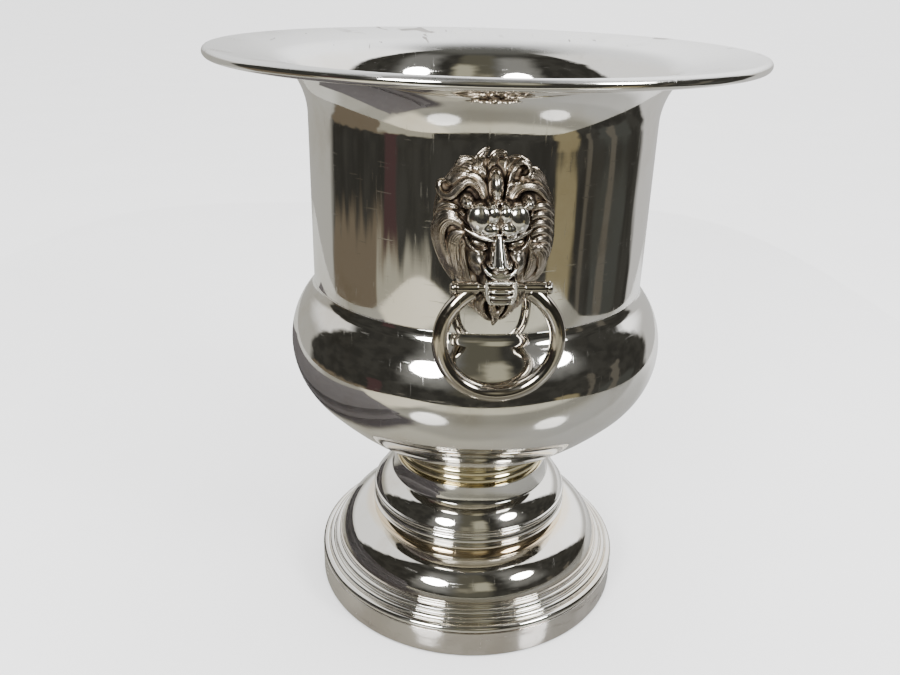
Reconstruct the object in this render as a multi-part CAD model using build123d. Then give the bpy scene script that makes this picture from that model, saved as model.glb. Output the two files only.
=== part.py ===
"""Footed silver champagne bucket with a ring handle hung from a lion mask on each side.

Millimetres. +Z is up and the origin is the centre of the base, on the plane that the foot
stands on. The handles lie on the Y axis: the front one at -Y and the back one at +Y.
Every shell is spun sheet, drawn as one outline (radius, height) and turned about Z.
"""
import os

from build123d import *

# ---- driving dimensions ----
SHEET = 1.2  # thickness of the spun silver-plated sheet
RIM_RADIUS = 116.0  # outermost radius, over the rim bead
RIM_HEIGHT = 260.0  # height of the rim bead's centre
BEAD_RADIUS = 2.1
BARREL_RADIUS = 75.2  # straight upper wall
SEAM_HEIGHT = 161.4  # solder seam between the lower bowl and the upper wall
FLARE_START = 234.0
FLARE_WAIST = (BARREL_RADIUS + 4.1, FLARE_START + 15.0)  # end of the flare's gentle first curve
FLARE_TURN = (BARREL_RADIUS + 15.3, FLARE_START + 23.2)  # end of its tight curve into the rim
BULGE_RADIUS = 36.0  # section radius of the bulge; its centre is given below
BULGE_CENTRE = (50.5, 132.0)
BOWL_TURN = (77.3, 108.0)  # where the bulge becomes the flatter underside
BOWL_FLAT_RADIUS = 36.5
BOWL_BASE = 75.3  # underside of the flat bottom of the bowl
WAIST_RADIUS = 38.2  # narrowest part of the foot
FOOT_TOP = 66.8
STEP_RADIUS = 49.2  # plinth step between the two domes of the foot
STEP_HEIGHT = 37.0
REED_WALL = 48.0  # upright edge of the upper dome, which carries two fine reeds and a broad one
# mouldings are given as (radius, height, section radius)
REEDS = ((REED_WALL, 48.0, 0.9), (REED_WALL, 46.35, 0.75), (45.7, 43.4, 3.2))
DOME_RADIUS = 66.2  # where the lower dome meets its mouldings
DOME_HEIGHT = 22.7
FOOT_BEADS = ((74.0, 14.2, 2.0), (71.2, 16.6, 1.4), (68.2, 19.1, 1.6), (66.7, 21.6, 0.7))
BASE_RADIUS = 76.0
BAND_HEIGHT = 12.9

MASK_HALF_WIDTH = 23.0
MASK_CENTRE_HEIGHT = 199.8
MASK_HALF_HEIGHT = 33.6
SHIELD_THICKNESS = 3.5
MASK_LUMPS = {  # centre beside, outside and above the wall at the mask's middle; half sizes
    "mane": ((0, 0.8, 0), (20, 9.5, 31)),
    "face": ((0, 3.8, -1), (14, 10, 20)),
    "muzzle": ((0, 10.3, -9.8), (7.6, 12, 9)),
    "beard": ((0, 4.8, -25), (8, 7, 9)),
    "left_brow": ((-6.5, 8.3, 4), (7, 6.5, 4.5)),
    "right_brow": ((6.5, 8.3, 4), (7, 6.5, 4.5)),
    "left_ear": ((-16.5, 3.8, 10), (4, 5.5, 4.5)),
    "right_ear": ((16.5, 3.8, 10), (4, 5.5, 4.5)),
}
PIN_HEIGHT = 187.0
PIN_DISTANCE = 92.0  # from the bucket's axis
PIN_RADIUS = 1.5
KNUCKLE_BORE = 1.57  # running fit on the pin
KNUCKLE_RADIUS = 2.3
KNUCKLE_LENGTH = 8.0
SIDE_PLAY = 0.2  # gap at each end of a knuckle
MOUTH_WIDTH = 16.0
RING_RADIUS = 21.85  # to the middle of the wire
WIRE_RADIUS = 3.0
RING_CENTRE_HEIGHT = 166.2

STUD_HEIGHTS = (178.0, 215.0)  # the two fixings behind each mask
STUD_RADIUS = 2.0
STUD_HOLE_RADIUS = 2.2
STUD_DEPTH = 4.0  # how far a stud is screwed into its mask
FOOT_STUD_RADIUS = 4.0
FOOT_STUD_HOLE_RADIUS = 4.3

FRONT = -1
BACK = 1
SIDES = {"front": FRONT, "back": BACK}


# ---- helpers ----
def spin(section):
    """Turn a section drawn as (radius, height) about the bucket's axis."""
    return revolve(Plane.XZ * section, Axis.Z)


def sheet(path, side):
    """Thicken an outline by one sheet, to its left or right."""
    return make_face(offset(path, amount=SHEET, side=side, closed=True))


def rounds(beads):
    """Circles of a row of mouldings, drawn as (radius, height)."""
    return [Pos(radius, height) * Circle(section) for radius, height, section in beads]


def box_between(low, high):
    """Box from its lowest to its highest corner."""
    size = [top - bottom for bottom, top in zip(low, high)]
    middle = [(top + bottom) / 2 for bottom, top in zip(low, high)]
    return Pos(*middle) * Box(*size)


def disc(radius, bottom, top):
    """Round plate or rod about Z between two heights."""
    return Pos(0, 0, (bottom + top) / 2) * Cylinder(radius, top - bottom)


def washer(radius, hole_radius, bottom, top):
    """Flat ring about Z between two heights."""
    return disc(radius, bottom, top) - disc(hole_radius, bottom, top)


def rod_x(radius, x_low, x_high):
    """Rod along X at the height and distance of the front hinge pin."""
    rod = Rot(0, 90, 0) * Cylinder(radius, x_high - x_low)
    return Pos((x_low + x_high) / 2, -PIN_DISTANCE, PIN_HEIGHT) * rod


def rod_y(radius, z, y_low, y_high):
    """Rod along Y in the plane x = 0."""
    rod = Rot(90, 0, 0) * Cylinder(radius, y_high - y_low)
    return Pos(0, (y_low + y_high) / 2, z) * rod


def to_side(shape, side):
    """Shapes are drawn on the front; the back one is the same turned half a turn."""
    return shape if side == FRONT else Rot(0, 0, 180) * shape


# ---- spun shells ----
def upper_section():
    """Section of the straight upper wall with its trumpet flare, flush with the top of the bead."""
    edge = (RIM_RADIUS - BEAD_RADIUS, RIM_HEIGHT + BEAD_RADIUS - SHEET)
    with BuildLine() as path:
        curve = Line((BARREL_RADIUS, SEAM_HEIGHT), (BARREL_RADIUS, FLARE_START))
        for end in (FLARE_WAIST, FLARE_TURN, edge):
            curve = TangentArc(curve @ 1, end, tangent=curve % 1)
    return sheet(path.wire(), Side.LEFT)


def bucket_body():
    """Upper shell, drilled for the mask fixings."""
    shell = spin(upper_section())
    for height in STUD_HEIGHTS:
        shell -= rod_y(STUD_HOLE_RADIUS, height, -BARREL_RADIUS - 1, BARREL_RADIUS + 1)
    return shell


def rim_bead():
    """Wire soldered over the edge of the flare, slotted to receive it."""
    wire = Pos(RIM_RADIUS - BEAD_RADIUS, RIM_HEIGHT) * Circle(BEAD_RADIUS)
    return spin(wire - upper_section())


def lower_bowl():
    """Bulge and closed bottom, joined to the upper wall through a cove."""
    cove_radius = 8.0
    centre_r, centre_z = BULGE_CENTRE
    reach = BULGE_RADIUS / (BULGE_RADIUS + cove_radius)
    cove_end = (
        centre_r + (BARREL_RADIUS + cove_radius - centre_r) * reach,
        centre_z + (SEAM_HEIGHT - centre_z) * reach,
    )
    with BuildLine() as path:
        TangentArc((BARREL_RADIUS, SEAM_HEIGHT), cove_end, tangent=(0, -1))
        ThreePointArc(cove_end, (centre_r + BULGE_RADIUS, centre_z), BOWL_TURN)
        down = (centre_z - BOWL_TURN[1], centre_r - BOWL_TURN[0])
        TangentArc(BOWL_TURN, (BOWL_FLAT_RADIUS, BOWL_BASE), tangent=(-down[0], down[1]))
        Line((BOWL_FLAT_RADIUS, BOWL_BASE), (0, BOWL_BASE))
    return spin(sheet(path.wire(), Side.RIGHT))


def neck_collar():
    """Cast ring of two broad reeds between the bowl and the foot."""
    inner = 34.2
    reed_radius = 2.6
    reeds = ((34.5, BOWL_BASE - 2.0, reed_radius), (34.6, FOOT_TOP + 2.6, reed_radius))
    middle = (FOOT_TOP + BOWL_BASE) / 2
    height = BOWL_BASE - FOOT_TOP
    section = Pos(inner + reed_radius / 2, middle) * Rectangle(reed_radius, height)
    limit = Pos(inner + reed_radius, middle) * Rectangle(2 * reed_radius, height)
    for reed in rounds(reeds):
        section += reed
    return spin(section & limit)


def upper_foot():
    """Upper dome of the foot: a neck with a closed top, a reeded edge and a plinth step."""
    lip = (WAIST_RADIUS, FOOT_TOP)
    crease = (WAIST_RADIUS + 1.4, FOOT_TOP - 8.8)  # between the neck and the dome
    dome_edge = (REED_WALL, REEDS[0][1] + REEDS[0][2])
    reed_bottom = (REED_WALL, STEP_HEIGHT + 4.2)
    step_top = (STEP_RADIUS, STEP_HEIGHT + 3.8)
    with BuildLine() as path:
        Line((0, FOOT_TOP), lip)
        TangentArc(lip, crease, tangent=(0, -1))
        TangentArc(crease, dome_edge, tangent=(0.883, -0.469))
        Polyline(dome_edge, reed_bottom, step_top, (STEP_RADIUS, STEP_HEIGHT))
    section = sheet(path.wire(), Side.RIGHT)
    outside = Pos(REED_WALL - SHEET + STEP_RADIUS, STEP_HEIGHT) * Rectangle(2 * STEP_RADIUS, 2 * STEP_HEIGHT)
    for reed in rounds(REEDS):
        section += reed & outside
    hole = Pos(0, 0, FOOT_TOP) * Cylinder(FOOT_STUD_HOLE_RADIUS, 4 * SHEET)
    return spin(section) - hole


def lower_foot():
    """Lower dome standing on a row of beads, open at the top under the upper foot."""
    seat_width = 4.2  # flat ring that carries the upper foot
    dome_edge = (DOME_RADIUS, DOME_HEIGHT)
    dome_top = (STEP_RADIUS, STEP_HEIGHT)
    bead_centres = [bead[:2] for bead in FOOT_BEADS]
    with BuildLine() as path:
        Polyline((BASE_RADIUS - 1.0, BAND_HEIGHT), *bead_centres, dome_edge)
        TangentArc(dome_top, dome_edge, tangent=(1, 0))
        Line(dome_top, (STEP_RADIUS - seat_width, STEP_HEIGHT))
    section = sheet(path.wire(), Side.LEFT)
    for bead in rounds(FOOT_BEADS):
        section += bead
    above_band = Pos(BASE_RADIUS, BAND_HEIGHT + STEP_HEIGHT) * Rectangle(2 * BASE_RADIUS, 2 * STEP_HEIGHT)
    return spin(section & above_band)


def base_band():
    """Upright foot band, turned inward at the bottom to a flat resting flange."""
    flange_width = 6.0
    with BuildLine() as path:
        Line((BASE_RADIUS, BAND_HEIGHT), (BASE_RADIUS, 0))
        Line((BASE_RADIUS, 0), (BASE_RADIUS - flange_width, 0))
    return spin(sheet(path.wire(), Side.RIGHT))


# ---- fixing of the foot ----
def foot_fixing():
    """Stud brazed under the bowl, and the plate, spring washer and nut that hold the foot."""
    plate_thickness = 2.0
    plate_radius = 20.0
    head_radius = 16.0
    spring_radius = 7.0
    split_half_width = 0.6
    nut_corner_radius = 7.5
    nut_chamfer_radius = 7.1
    plate_top = FOOT_TOP - SHEET
    plate_bottom = plate_top - plate_thickness
    spring_bottom = plate_bottom - 1.8
    nut_bottom = spring_bottom - 6.5
    stud_bottom = nut_bottom - 3.5
    head = disc(head_radius, BOWL_BASE - plate_thickness, BOWL_BASE)
    split = box_between(
        (0, -split_half_width, spring_bottom),
        (2 * spring_radius, split_half_width, plate_bottom),
    )
    hexagon = extrude(RegularPolygon(nut_corner_radius, 6), spring_bottom - nut_bottom)
    nut = Pos(0, 0, nut_bottom) * hexagon & disc(nut_chamfer_radius, nut_bottom, spring_bottom)
    spring = washer(spring_radius, FOOT_STUD_HOLE_RADIUS, spring_bottom, plate_bottom)
    return {
        "foot_stud": head + disc(FOOT_STUD_RADIUS, stud_bottom, BOWL_BASE),
        "foot_clamp_plate": washer(plate_radius, FOOT_STUD_HOLE_RADIUS, plate_bottom, plate_top),
        "foot_spring_washer": spring - split,
        "foot_nut": nut - disc(FOOT_STUD_RADIUS, nut_bottom, spring_bottom),
    }


# ---- handles, drawn on the front ----
def lump(beside, outside, above, half_sizes):
    """Rounded lump of the casting, placed from the wall at the mask's middle."""
    return Pos(beside, -BARREL_RADIUS - outside, MASK_CENTRE_HEIGHT + above) * scale(Sphere(1), by=half_sizes)


def mask():
    """Lion mask: a curved oval shield with mane, ears, brow, muzzle, mouth bar and beard."""
    jaw_half_width = 6.5
    bottom = MASK_CENTRE_HEIGHT - 2 * MASK_HALF_HEIGHT
    top = MASK_CENTRE_HEIGHT + 2 * MASK_HALF_HEIGHT
    outline = Pos(0, MASK_CENTRE_HEIGHT) * Ellipse(MASK_HALF_WIDTH, MASK_HALF_HEIGHT)
    column = extrude(Plane.XZ * outline, 2 * BARREL_RADIUS)
    casting = column & disc(BARREL_RADIUS + SHIELD_THICKNESS, bottom, top)
    for centre, half_sizes in MASK_LUMPS.values():
        casting += lump(*centre, half_sizes)
    casting += rod_x(KNUCKLE_RADIUS, -MOUTH_WIDTH / 2, MOUTH_WIDTH / 2)
    casting += box_between(
        (-jaw_half_width, -PIN_DISTANCE, PIN_HEIGHT - KNUCKLE_RADIUS),
        (jaw_half_width, -BARREL_RADIUS, PIN_HEIGHT + KNUCKLE_RADIUS),
    )
    casting -= disc(BARREL_RADIUS, bottom, top)
    casting -= rod_x(PIN_RADIUS, -MOUTH_WIDTH, MOUTH_WIDTH)
    for height in STUD_HEIGHTS:
        casting -= rod_y(STUD_RADIUS, height, -BARREL_RADIUS - STUD_DEPTH, -BARREL_RADIUS + STUD_DEPTH)
    return casting


def mask_fixings():
    """Studs screwed into the back of the mask, with a washer and a cap nut inside the bucket."""
    washer_radius = 5.0
    nut_corner_radius = 4.0
    nut_chamfer_radius = 3.8
    cap_radius = 3.2
    inner_wall = BARREL_RADIUS - SHEET
    seat = (inner_wall**2 - washer_radius**2) ** 0.5
    nut_start = seat - 1.0
    nut_end = nut_start - 3.0
    fixings = {"studs": [], "washers": [], "nuts": []}
    for height in STUD_HEIGHTS:
        fixings["studs"].append(rod_y(STUD_RADIUS, height, -BARREL_RADIUS - STUD_DEPTH, -nut_end))
        ring = rod_y(washer_radius, height, -seat, -nut_start)
        fixings["washers"].append(ring - rod_y(STUD_HOLE_RADIUS, height, -seat, -nut_start))
        hexagon = extrude(Plane.XZ * (Pos(0, height) * RegularPolygon(nut_corner_radius, 6)), nut_start)
        hexagon &= rod_y(nut_chamfer_radius, height, -nut_start, -nut_end)
        cap = Pos(0, -nut_end, height) * Sphere(cap_radius)
        nut = hexagon + (cap & rod_y(cap_radius, height, -nut_end, -nut_end + cap_radius))
        fixings["nuts"].append(nut - rod_y(STUD_RADIUS, height, -nut_start, -nut_end))
    return {name: Compound(children=shapes) for name, shapes in fixings.items()}


def hinge_pin():
    """Pin through the bar in the lion's mouth, riveted over outside the ring's knuckles."""
    head_radius = PIN_RADIUS + 0.5
    head_start = MOUTH_WIDTH / 2 + KNUCKLE_LENGTH + 2 * SIDE_PLAY
    head_end = head_start + 0.8
    pin = rod_x(PIN_RADIUS, -head_start, head_start)
    pin += rod_x(head_radius, head_start, head_end)
    pin += rod_x(head_radius, -head_end, -head_start)
    return pin


def ring_knuckles():
    """The two short barrels that the ring's ends are brazed to."""
    inner = MOUTH_WIDTH / 2 + SIDE_PLAY
    outer = inner + KNUCKLE_LENGTH
    barrels = []
    for low, high in ((-outer, -inner), (inner, outer)):
        barrels.append(rod_x(KNUCKLE_RADIUS, low, high) - rod_x(KNUCKLE_BORE, low, high))
    return Compound(children=barrels)


def ring():
    """Round-wire ring, open at the top where its ends meet the knuckles from below."""
    centre = Pos(0, -PIN_DISTANCE, RING_CENTRE_HEIGHT)
    wire = centre * (Rot(90, 0, 0) * Torus(RING_RADIUS, WIRE_RADIUS))
    reach = RING_RADIUS + 2 * WIRE_RADIUS
    half_gap = MOUTH_WIDTH / 2 + 0.5
    wire_top = PIN_HEIGHT - 1.0  # the wire's ends stop inside the lower half of the knuckles
    front = -PIN_DISTANCE - reach
    back = -PIN_DISTANCE + reach
    above = PIN_HEIGHT + reach
    wire -= box_between((-half_gap, front, RING_CENTRE_HEIGHT), (half_gap, back, above))
    wire -= box_between((-reach, front, wire_top), (reach, back, above))
    return wire - rod_x(KNUCKLE_RADIUS, -reach, reach)


# ---- assembly ----
def build_parts():
    parts = {
        "bucket_body": bucket_body(),
        "rim_bead": rim_bead(),
        "lower_bowl": lower_bowl(),
        "neck_collar": neck_collar(),
        "upper_foot": upper_foot(),
        "lower_foot": lower_foot(),
        "base_band": base_band(),
    }
    parts.update(foot_fixing())
    handle = {
        "mask": mask(),
        "ring_pin": hinge_pin(),
        "ring": ring(),
        "ring_knuckles": ring_knuckles(),
    }
    for name, shape in mask_fixings().items():
        handle[f"mask_{name}"] = shape
    for side_name, side in SIDES.items():
        for name, shape in handle.items():
            parts[f"{side_name}_{name}"] = to_side(shape, side)
    return parts


if __name__ == "__main__":
    os.makedirs("parts", exist_ok=True)
    for node, shape in build_parts().items():
        export_step(shape, f"parts/{node}.step")
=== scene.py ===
"""Footed silver champagne bucket with lion-mask ring handles: the looks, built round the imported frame.

Outlines are drawn in millimetres as (radius, height), and every mesh is made in metres.
"""
import contextlib
import math

import bmesh
import bpy
import numpy as np
from mathutils import Matrix, Vector


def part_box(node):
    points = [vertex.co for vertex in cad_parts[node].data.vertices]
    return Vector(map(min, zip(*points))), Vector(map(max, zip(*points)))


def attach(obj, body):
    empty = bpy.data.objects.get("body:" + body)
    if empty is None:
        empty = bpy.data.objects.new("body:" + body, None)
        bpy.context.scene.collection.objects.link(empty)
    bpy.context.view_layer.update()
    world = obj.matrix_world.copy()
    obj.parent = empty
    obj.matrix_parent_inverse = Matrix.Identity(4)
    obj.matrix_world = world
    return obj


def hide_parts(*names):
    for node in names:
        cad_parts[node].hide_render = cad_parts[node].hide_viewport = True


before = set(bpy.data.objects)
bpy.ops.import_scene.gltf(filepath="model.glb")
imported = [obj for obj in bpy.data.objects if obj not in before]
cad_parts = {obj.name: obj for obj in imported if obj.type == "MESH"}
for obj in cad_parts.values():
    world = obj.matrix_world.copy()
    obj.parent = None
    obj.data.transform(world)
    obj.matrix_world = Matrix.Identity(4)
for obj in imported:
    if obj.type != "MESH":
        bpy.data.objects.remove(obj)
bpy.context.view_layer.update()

MM = 0.001
SHEET = 1.2
LATHE_STEPS = 288


# ---- outlines ----
class Outline:
    """A path of straight runs and tangent arcs; heading is in degrees, 0 outward and 90 up."""

    def __init__(self, r, z, heading):
        self.points = [np.array((r, z), float)]
        self.heading = heading

    @property
    def here(self):
        return self.points[-1]

    def line(self, r, z):
        step = np.array((r, z), float) - self.here
        count = max(2, int(np.hypot(*step) / 1.5))
        start = self.here
        self.points += [start + step * i / count for i in range(1, count + 1)]
        self.heading = math.degrees(math.atan2(step[1], step[0]))
        return self

    def turn(self, radius, degrees):
        """Arc of that radius, to the left for positive degrees."""
        side = math.copysign(1, degrees)
        start_angle = math.radians(self.heading - 90 * side)
        centre = self.here - radius * np.array((math.cos(start_angle), math.sin(start_angle)))
        count = max(3, int(abs(degrees) / 2.5))
        for i in range(1, count + 1):
            angle = start_angle + math.radians(degrees) * i / count
            self.points.append(centre + radius * np.array((math.cos(angle), math.sin(angle))))
        self.heading += degrees
        return self

    def bend(self, r, z):
        """Arc from the present heading to a point."""
        chord = np.array((r, z), float) - self.here
        off = math.degrees(math.atan2(chord[1], chord[0])) - self.heading
        off = (off + 180) % 360 - 180
        radius = np.hypot(*chord) / (2 * math.sin(math.radians(abs(off))))
        return self.turn(radius, 2 * off)

    def aim(self, degrees):
        self.heading = degrees
        return self


def left_of(points):
    """Unit vectors to the left of the path at each point."""
    run = np.gradient(points, axis=0)
    run /= np.linalg.norm(run, axis=1)[:, None]
    return np.stack((-run[:, 1], run[:, 0]), 1)


def resampled(points, spacing):
    """The same path in even steps of about that spacing."""
    along = np.concatenate(([0], np.cumsum(np.linalg.norm(np.diff(points, axis=0), axis=1))))
    at = np.linspace(0, along[-1], int(along[-1] / spacing) + 1)
    return np.stack([np.interp(at, along, points[:, k]) for k in (0, 1)], 1)


def offset(points, distance):
    """The path moved to its left by distance, without the loops that tight corners leave."""
    points = np.array(points)
    moved = points + distance * left_of(points)
    gap = np.linalg.norm(moved[:, None] - points[None], axis=2).min(1)
    keep = gap > 0.97 * abs(distance)
    keep[[0, -1]] = True
    return moved[keep]


def ridged(points, beads, side):
    """The path pushed out, left for side 1 and right for -1, wherever it runs inside a round bead."""
    even = resampled(np.array(points), 0.08)
    normal = side * left_of(even)
    push = np.zeros(len(even))
    for radius, height, section in beads:
        off = even - (radius, height)
        outward = (off * normal).sum(1)
        root = outward**2 - (off**2).sum(1) + section**2
        inside = (off**2).sum(1) < section**2
        reach = np.sqrt(np.maximum(root, 0)) - outward
        push = np.maximum(push, np.where(inside, reach, 0))
    return even + push[:, None] * normal


def rounded(points, spacing=0.12, blur=0.22, closed=True):
    """The path resampled evenly and softened, so that edges catch light."""
    points = np.array(points)
    if closed:
        points = np.vstack((points, points[:1]))
    even = resampled(points, spacing)
    reach = int(3 * blur / spacing)
    weight = np.exp(-0.5 * (np.arange(-reach, reach + 1) * spacing / blur) ** 2)
    weight /= weight.sum()
    if closed:
        even = even[:-1]
        padded = np.vstack((even[-reach:], even, even[:reach]))
    else:
        head = 2 * even[0] - even[reach:0:-1]
        tail = 2 * even[-1] - even[-2 : -reach - 2 : -1]
        padded = np.vstack((head, even, tail))
    return np.stack([np.convolve(padded[:, k], weight, "valid") for k in (0, 1)], 1)


def thinned(points, angle=2.0, longest=4.0):
    """Drops points where the path is nearly straight."""
    kept = [0]
    run = np.diff(points, axis=0)
    heading = np.unwrap(np.arctan2(run[:, 1], run[:, 0]))
    along = np.concatenate(([0], np.cumsum(np.linalg.norm(run, axis=1))))
    for i in range(1, len(points) - 1):
        turned = abs(math.degrees(heading[i] - heading[kept[-1]]))
        if turned >= angle or along[i] - along[kept[-1]] >= longest:
            kept.append(i)
    return points[kept]


# ---- meshes ----
def linked(name, data):
    """New object of that data, linked to the scene."""
    made = bpy.data.objects.new(name, data)
    bpy.context.scene.collection.objects.link(made)
    return made


@contextlib.contextmanager
def reshaped(mesh):
    """The mesh as an editable form, written back at the end."""
    form = bmesh.new()
    form.from_mesh(mesh)
    yield form
    form.to_mesh(mesh)
    form.free()


def make_object(name, points, faces):
    """Smooth-shaded object; points are in metres."""
    mesh = bpy.data.meshes.new(name)
    mesh.from_pydata([tuple(p) for p in points], [], faces)
    mesh.validate()
    mesh.polygons.foreach_set("use_smooth", [True] * len(mesh.polygons))
    mesh.update()
    return linked(name, mesh)


def turned_faces(steps, rows, open_ends=False):
    """Quads of a section of that many points turned through equal steps."""
    faces = []
    for i in range(steps):
        a, b = i * rows, (i + 1) % steps * rows
        for j in range(rows - 1 if open_ends else rows):
            k = (j + 1) % rows
            faces.append((a + j, b + j, b + k, a + k))
    return faces


def lathe(name, section, steps=LATHE_STEPS, on_axis=False):
    """Turns a section, in millimetres, about Z. A section on the axis starts and ends at r = 0."""
    section = np.array(section) * MM
    turn = np.arange(steps) * 2 * math.pi / steps
    ways = ((np.cos(turn), 0), (np.sin(turn), 0), (np.ones(steps), 1))
    points = np.stack([np.outer(way, section[:, k]) for way, k in ways], 2).reshape(-1, 3)
    piece = make_object(name, points, turned_faces(steps, len(section), on_axis))
    if on_axis:
        with reshaped(piece.data) as form:
            bmesh.ops.remove_doubles(form, verts=form.verts, dist=1e-6)
    return piece


# ---- driving dimensions, from the frame where it holds them ----
def mm(value):
    return value / MM


def half_size(box, axis):
    return mm(box[1][axis] - box[0][axis]) / 2


def middle(box, axis):
    return mm(box[1][axis] + box[0][axis]) / 2


rim_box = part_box("rim_bead")
bowl_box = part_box("lower_bowl")
upper_foot_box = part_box("upper_foot")
band_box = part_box("base_band")
RIM_RADIUS = half_size(rim_box, 0)
BEAD_RADIUS = half_size(rim_box, 2)
RIM_HEIGHT = middle(rim_box, 2)
SEAM_HEIGHT = mm(bowl_box[1][2])
BOWL_BASE = mm(bowl_box[0][2])
FOOT_TOP = mm(upper_foot_box[1][2])
STEP_HEIGHT = mm(upper_foot_box[0][2])
BAND_HEIGHT = mm(band_box[1][2])
BASE_RADIUS = half_size(band_box, 0)
BARREL_RADIUS = 75.2
FLARE_START = 234.0
# the flare passes these steps outward and upward from its start
FLARE_STEPS = ((4.1, 15), (15.3, 23.2))
# fillet under the seam as radius and degrees, then points of the bulge as radius and height
SEAM_FILLET = (8.0, 41.9)
BULGE_WIDEST = (86.5, 132.0)
BULGE_UNDER = (77.3, 108.0)
BOWL_BASE_RADIUS = 36.5
COLLAR_RADIUS = 34.2
COLLAR_REED = 2.6
STEP_RADIUS = 49.2
WAIST_RADIUS = 38.2
REED_WALL = 48.0
# mouldings are given as (radius, height, section radius)
REEDS = ((REED_WALL, 48.0, 0.9), (REED_WALL, 46.35, 0.75), (45.7, 43.4, 3.2))
DOME_RADIUS = 66.2
DOME_HEIGHT = 22.7
FOOT_BEADS = ((74.0, 14.2, 2.0), (71.2, 16.6, 1.4), (68.2, 19.1, 1.6), (66.7, 21.6, 0.7))


def closed_sheet(outer, side):
    """Section of a spun sheet: its outline and the same moved inward by the sheet."""
    inner = offset(outer, side * SHEET)
    return thinned(rounded(np.vstack((outer, inner[::-1]))))


# ---- spun shells ----
def bucket_body():
    """Straight barrel that flares out to the rim."""
    path = Outline(BARREL_RADIUS, SEAM_HEIGHT, 90).line(BARREL_RADIUS, FLARE_START)
    for out, up in FLARE_STEPS:
        path.bend(BARREL_RADIUS + out, FLARE_START + up)
    path.bend(RIM_RADIUS - BEAD_RADIUS, RIM_HEIGHT + BEAD_RADIUS - SHEET)
    return lathe("bucket_body_shell", closed_sheet(path.points, 1))


def rim_bead():
    path = Outline(RIM_RADIUS, RIM_HEIGHT, 90).turn(BEAD_RADIUS, 360)
    return lathe("rim_bead_wire", path.points[:-1])


def lower_bowl():
    """Bulge below the seam, closed by a flat bottom."""
    path = Outline(BARREL_RADIUS, SEAM_HEIGHT, -90)
    path.turn(*SEAM_FILLET).bend(*BULGE_WIDEST)
    path.aim(-90).bend(*BULGE_UNDER)
    path.bend(BOWL_BASE_RADIUS, BOWL_BASE).line(0, BOWL_BASE)
    outer = np.array(path.points)
    inner = offset(outer, -SHEET)
    inner[-1, 0] = 0
    section = rounded(np.vstack((outer[::-1], inner)), closed=False)
    return lathe("lower_bowl_shell", thinned(section), on_axis=True)


def neck_collar():
    """Two stacked reeds between the bowl and the foot."""
    inner, reed = COLLAR_RADIUS, COLLAR_REED
    reeds = ((inner + 0.3, BOWL_BASE - 2.0, reed), (inner + 0.4, FOOT_TOP + reed, reed))
    wall = [(inner + reed / 2, FOOT_TOP), (inner + reed / 2, BOWL_BASE)]
    outer = ridged(wall, reeds, -1)
    outer[:, 1] = np.clip(outer[:, 1], FOOT_TOP, BOWL_BASE)
    section = np.vstack(([(inner, FOOT_TOP)], outer, [(inner, BOWL_BASE)]))
    return lathe("neck_collar_ring", thinned(rounded(section, blur=0.12)))


def upper_foot():
    """Flat top, neck and dome, then reeds and a short wall down to the step."""
    reed_bottom = STEP_HEIGHT + 4.2
    path = Outline(0, FOOT_TOP, 0).line(WAIST_RADIUS, FOOT_TOP)
    path.aim(-90).bend(WAIST_RADIUS + 1.4, FOOT_TOP - 8.8)
    path.aim(-28).bend(REED_WALL, REEDS[0][1] + REEDS[0][2])
    path.line(REED_WALL, reed_bottom).line(STEP_RADIUS, reed_bottom - 0.4).line(STEP_RADIUS, STEP_HEIGHT)
    inner = offset(path.points, -SHEET)
    inner[0, 0] = 0
    outer = ridged(path.points, REEDS, 1)
    section = rounded(np.vstack((outer, inner[::-1])), blur=0.14, closed=False)
    return lathe("upper_foot_dome", thinned(section), on_axis=True)


def lower_foot():
    """Wide dome with beads round its foot."""
    path = Outline(BASE_RADIUS - 1.0, BAND_HEIGHT, 90)
    for radius, height, _ in FOOT_BEADS:
        path.line(radius, height)
    path.line(DOME_RADIUS, DOME_HEIGHT)
    path.aim(101.5).bend(STEP_RADIUS, STEP_HEIGHT)
    path.line(STEP_RADIUS - 4.2, STEP_HEIGHT)
    inner = offset(path.points, SHEET)
    outer = ridged(path.points, FOOT_BEADS, -1)
    outer = outer[outer[:, 1] >= BAND_HEIGHT]
    return lathe("lower_foot_dome", thinned(rounded(np.vstack((outer, inner[::-1])), blur=0.16)))


def base_band():
    path = Outline(BASE_RADIUS, BAND_HEIGHT, -90).line(BASE_RADIUS, 0.6).turn(0.6, -90)
    path.line(BASE_RADIUS - 6.0, 0)
    return lathe("base_band_ring", closed_sheet(path.points, -1))


shells = {
    "bucket_body": bucket_body(),
    "rim_bead": rim_bead(),
    "lower_bowl": lower_bowl(),
    "neck_collar": neck_collar(),
    "upper_foot": upper_foot(),
    "lower_foot": lower_foot(),
    "base_band": base_band(),
}
for node, piece in shells.items():
    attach(piece, "bucket")
    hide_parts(node)


# ---- lion masks ----
RELIEF_PITCH = 0.2
BACK_STEP = 4
SUNK = -0.5
OUTSIDE = -9.0
MASK_LEAN = 0.05
MASK_SHIFT = -0.3
MASK_LOW, MASK_HIGH, MASK_REACH = 163.5, 236.5, 25.6


def smooth_path(points, rounds=4):
    """Corner-cut curve through a few given points, keeping its two ends."""
    path = np.array(points, float)
    for _ in range(rounds):
        a, b = path[:-1], path[1:]
        cut = np.stack((0.75 * a + 0.25 * b, 0.25 * a + 0.75 * b), 1).reshape(-1, 2)
        path = np.vstack((path[:1], cut[1:-1], path[-1:]))
    return path


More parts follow.
